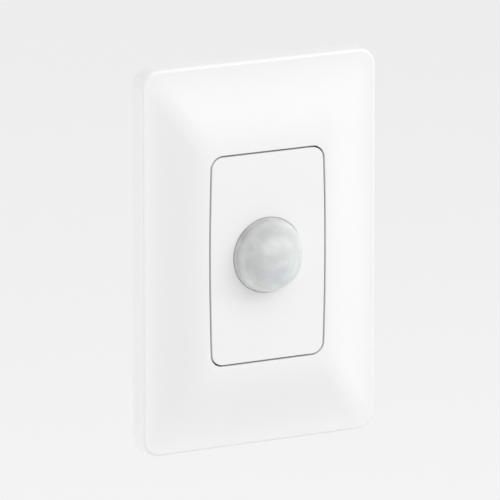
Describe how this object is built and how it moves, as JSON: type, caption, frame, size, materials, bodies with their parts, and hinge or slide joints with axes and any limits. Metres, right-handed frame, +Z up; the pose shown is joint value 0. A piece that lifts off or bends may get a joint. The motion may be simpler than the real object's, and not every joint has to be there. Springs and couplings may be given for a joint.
{
  "type": "motion sensor light switch",
  "caption": "Wall-box light switch with a domed infrared motion sensor in a flush panel, framed by a white plate with S-curved borders; relay and screw terminals behind.",
  "frame": {"origin": "midway between the two wall-box screws, on the wall plane", "axes": "+Z up the wall, -Y out into the room, +Y into the wall box, +X to the right as seen from the room"},
  "size_m": [0.08, 0.0469, 0.12],
  "materials": {
    "plate_white": "satin white moulded plastic",
    "panel_white": "satin white moulded plastic",
    "lens_milky": "milky translucent polyethylene with fine facets",
    "frame_grey": "fine-textured grey plastic",
    "housing_grey": "fine-textured grey plastic",
    "cover_white": "fine-textured white plastic",
    "board_green": "lacquered fibreglass board",
    "black_plastic": "black moulded plastic",
    "blue_plastic": "blue moulded plastic",
    "yellow_plastic": "yellow moulded box",
    "cream_plastic": "cream moulded plastic",
    "dark_filter": "dark silicon filter",
    "steel": "zinc-plated steel",
    "brass": "bright brass strip",
    "copper": "enamelled copper and copper alloy"
  },
  "bodies": {
    "base": {"mounting_frame": "frame_grey", "rear_housing": "housing_grey", "terminal_block": "housing_grey", "inner_cover": "cover_white", "cover_screws": "steel", "circuit_board": "board_green", "pir_spacer": "cover_white", "pir_header": "steel", "pir_can": "steel", "pir_window": "dark_filter", "light_sensor": "cream_plastic", "trimmer_bodies": "blue_plastic", "selector_body": "black_plastic", "relay_base": "black_plastic", "relay_yoke": "steel", "relay_bobbin": "cream_plastic", "relay_winding": "copper", "relay_fixed_contact": "copper", "relay_case": "blue_plastic", "film_capacitor": "yellow_plastic", "electrolytic_capacitor": "black_plastic", "varistor": "blue_plastic", "fuse": "black_plastic", "rectifier": "black_plastic", "control_chip": "black_plastic", "part_leads": "steel", "contact_bars": "brass"},
    "plate": {"wall_plate": "plate_white"},
    "panel": {"front_panel": "panel_white", "lens": "lens_milky", "lens_ring": "frame_grey"},
    "time_dial": {"time_dial": "cover_white"},
    "light_dial": {"light_dial": "cover_white"},
    "selector": {"selector_knob": "cover_white"},
    "armature": {"relay_armature": "steel", "relay_leaf": "copper"},
    "screw_left": {"terminal_screw_left": "steel"},
    "cage_left": {"clamp_cage_left": "steel"},
    "screw_middle": {"terminal_screw_middle": "steel"},
    "cage_middle": {"clamp_cage_middle": "steel"},
    "screw_right": {"terminal_screw_right": "steel"},
    "cage_right": {"clamp_cage_right": "steel"}
  },
  "joints": [
    {"name": "plate_pull", "type": "slide", "parent": "base", "child": "plate", "axis": [0, -1, 0], "range_m": [0, 0.03]},
    {"name": "panel_pull", "type": "slide", "parent": "base", "child": "panel", "axis": [0, -1, 0], "range_m": [0, 0.025]},
    {"name": "time_turn", "type": "hinge", "parent": "base", "child": "time_dial", "pos_m": [-0.0078, -0.0066, 0.0215], "axis": [0, 1, 0], "range_deg": [-135, 135]},
    {"name": "light_turn", "type": "hinge", "parent": "base", "child": "light_dial", "pos_m": [0.0078, -0.0066, 0.0215], "axis": [0, 1, 0], "range_deg": [-135, 135]},
    {"name": "mode_slide", "type": "slide", "parent": "base", "child": "selector", "axis": [1, 0, 0], "range_m": [-0.002, 0.002]},
    {"name": "armature_swing", "type": "hinge", "parent": "base", "child": "armature", "pos_m": [-0.01115, 0.0112, 0.006], "axis": [1, 0, 0], "range_deg": [0, 4], "stiffness_Nm_per_rad": 0.002, "springref_deg": -11.46},
    {"name": "screw_turn_left", "type": "hinge", "parent": "base", "child": "screw_left", "pos_m": [-0.0095, 0.0201, -0.031], "axis": [0, 0, 1], "range_deg": [0, 2160]},
    {"name": "cage_rise_left", "type": "slide", "parent": "base", "child": "cage_left", "axis": [0, 0, -1], "range_m": [0, 0.003]},
    {"name": "screw_turn_middle", "type": "hinge", "parent": "base", "child": "screw_middle", "pos_m": [0, 0.0201, -0.031], "axis": [0, 0, 1], "range_deg": [0, 2160]},
    {"name": "cage_rise_middle", "type": "slide", "parent": "base", "child": "cage_middle", "axis": [0, 0, -1], "range_m": [0, 0.003]},
    {"name": "screw_turn_right", "type": "hinge", "parent": "base", "child": "screw_right", "pos_m": [0.0095, 0.0201, -0.031], "axis": [0, 0, 1], "range_deg": [0, 2160]},
    {"name": "cage_rise_right", "type": "slide", "parent": "base", "child": "cage_right", "axis": [0, 0, -1], "range_m": [0, 0.003]}
  ],
  "couplings": [
    {"joint": "screw_turn_left", "follows": "cage_rise_left", "rad_per_m": 12566},
    {"joint": "screw_turn_middle", "follows": "cage_rise_middle", "rad_per_m": 12566},
    {"joint": "screw_turn_right", "follows": "cage_rise_right", "rad_per_m": 12566}
  ]
}
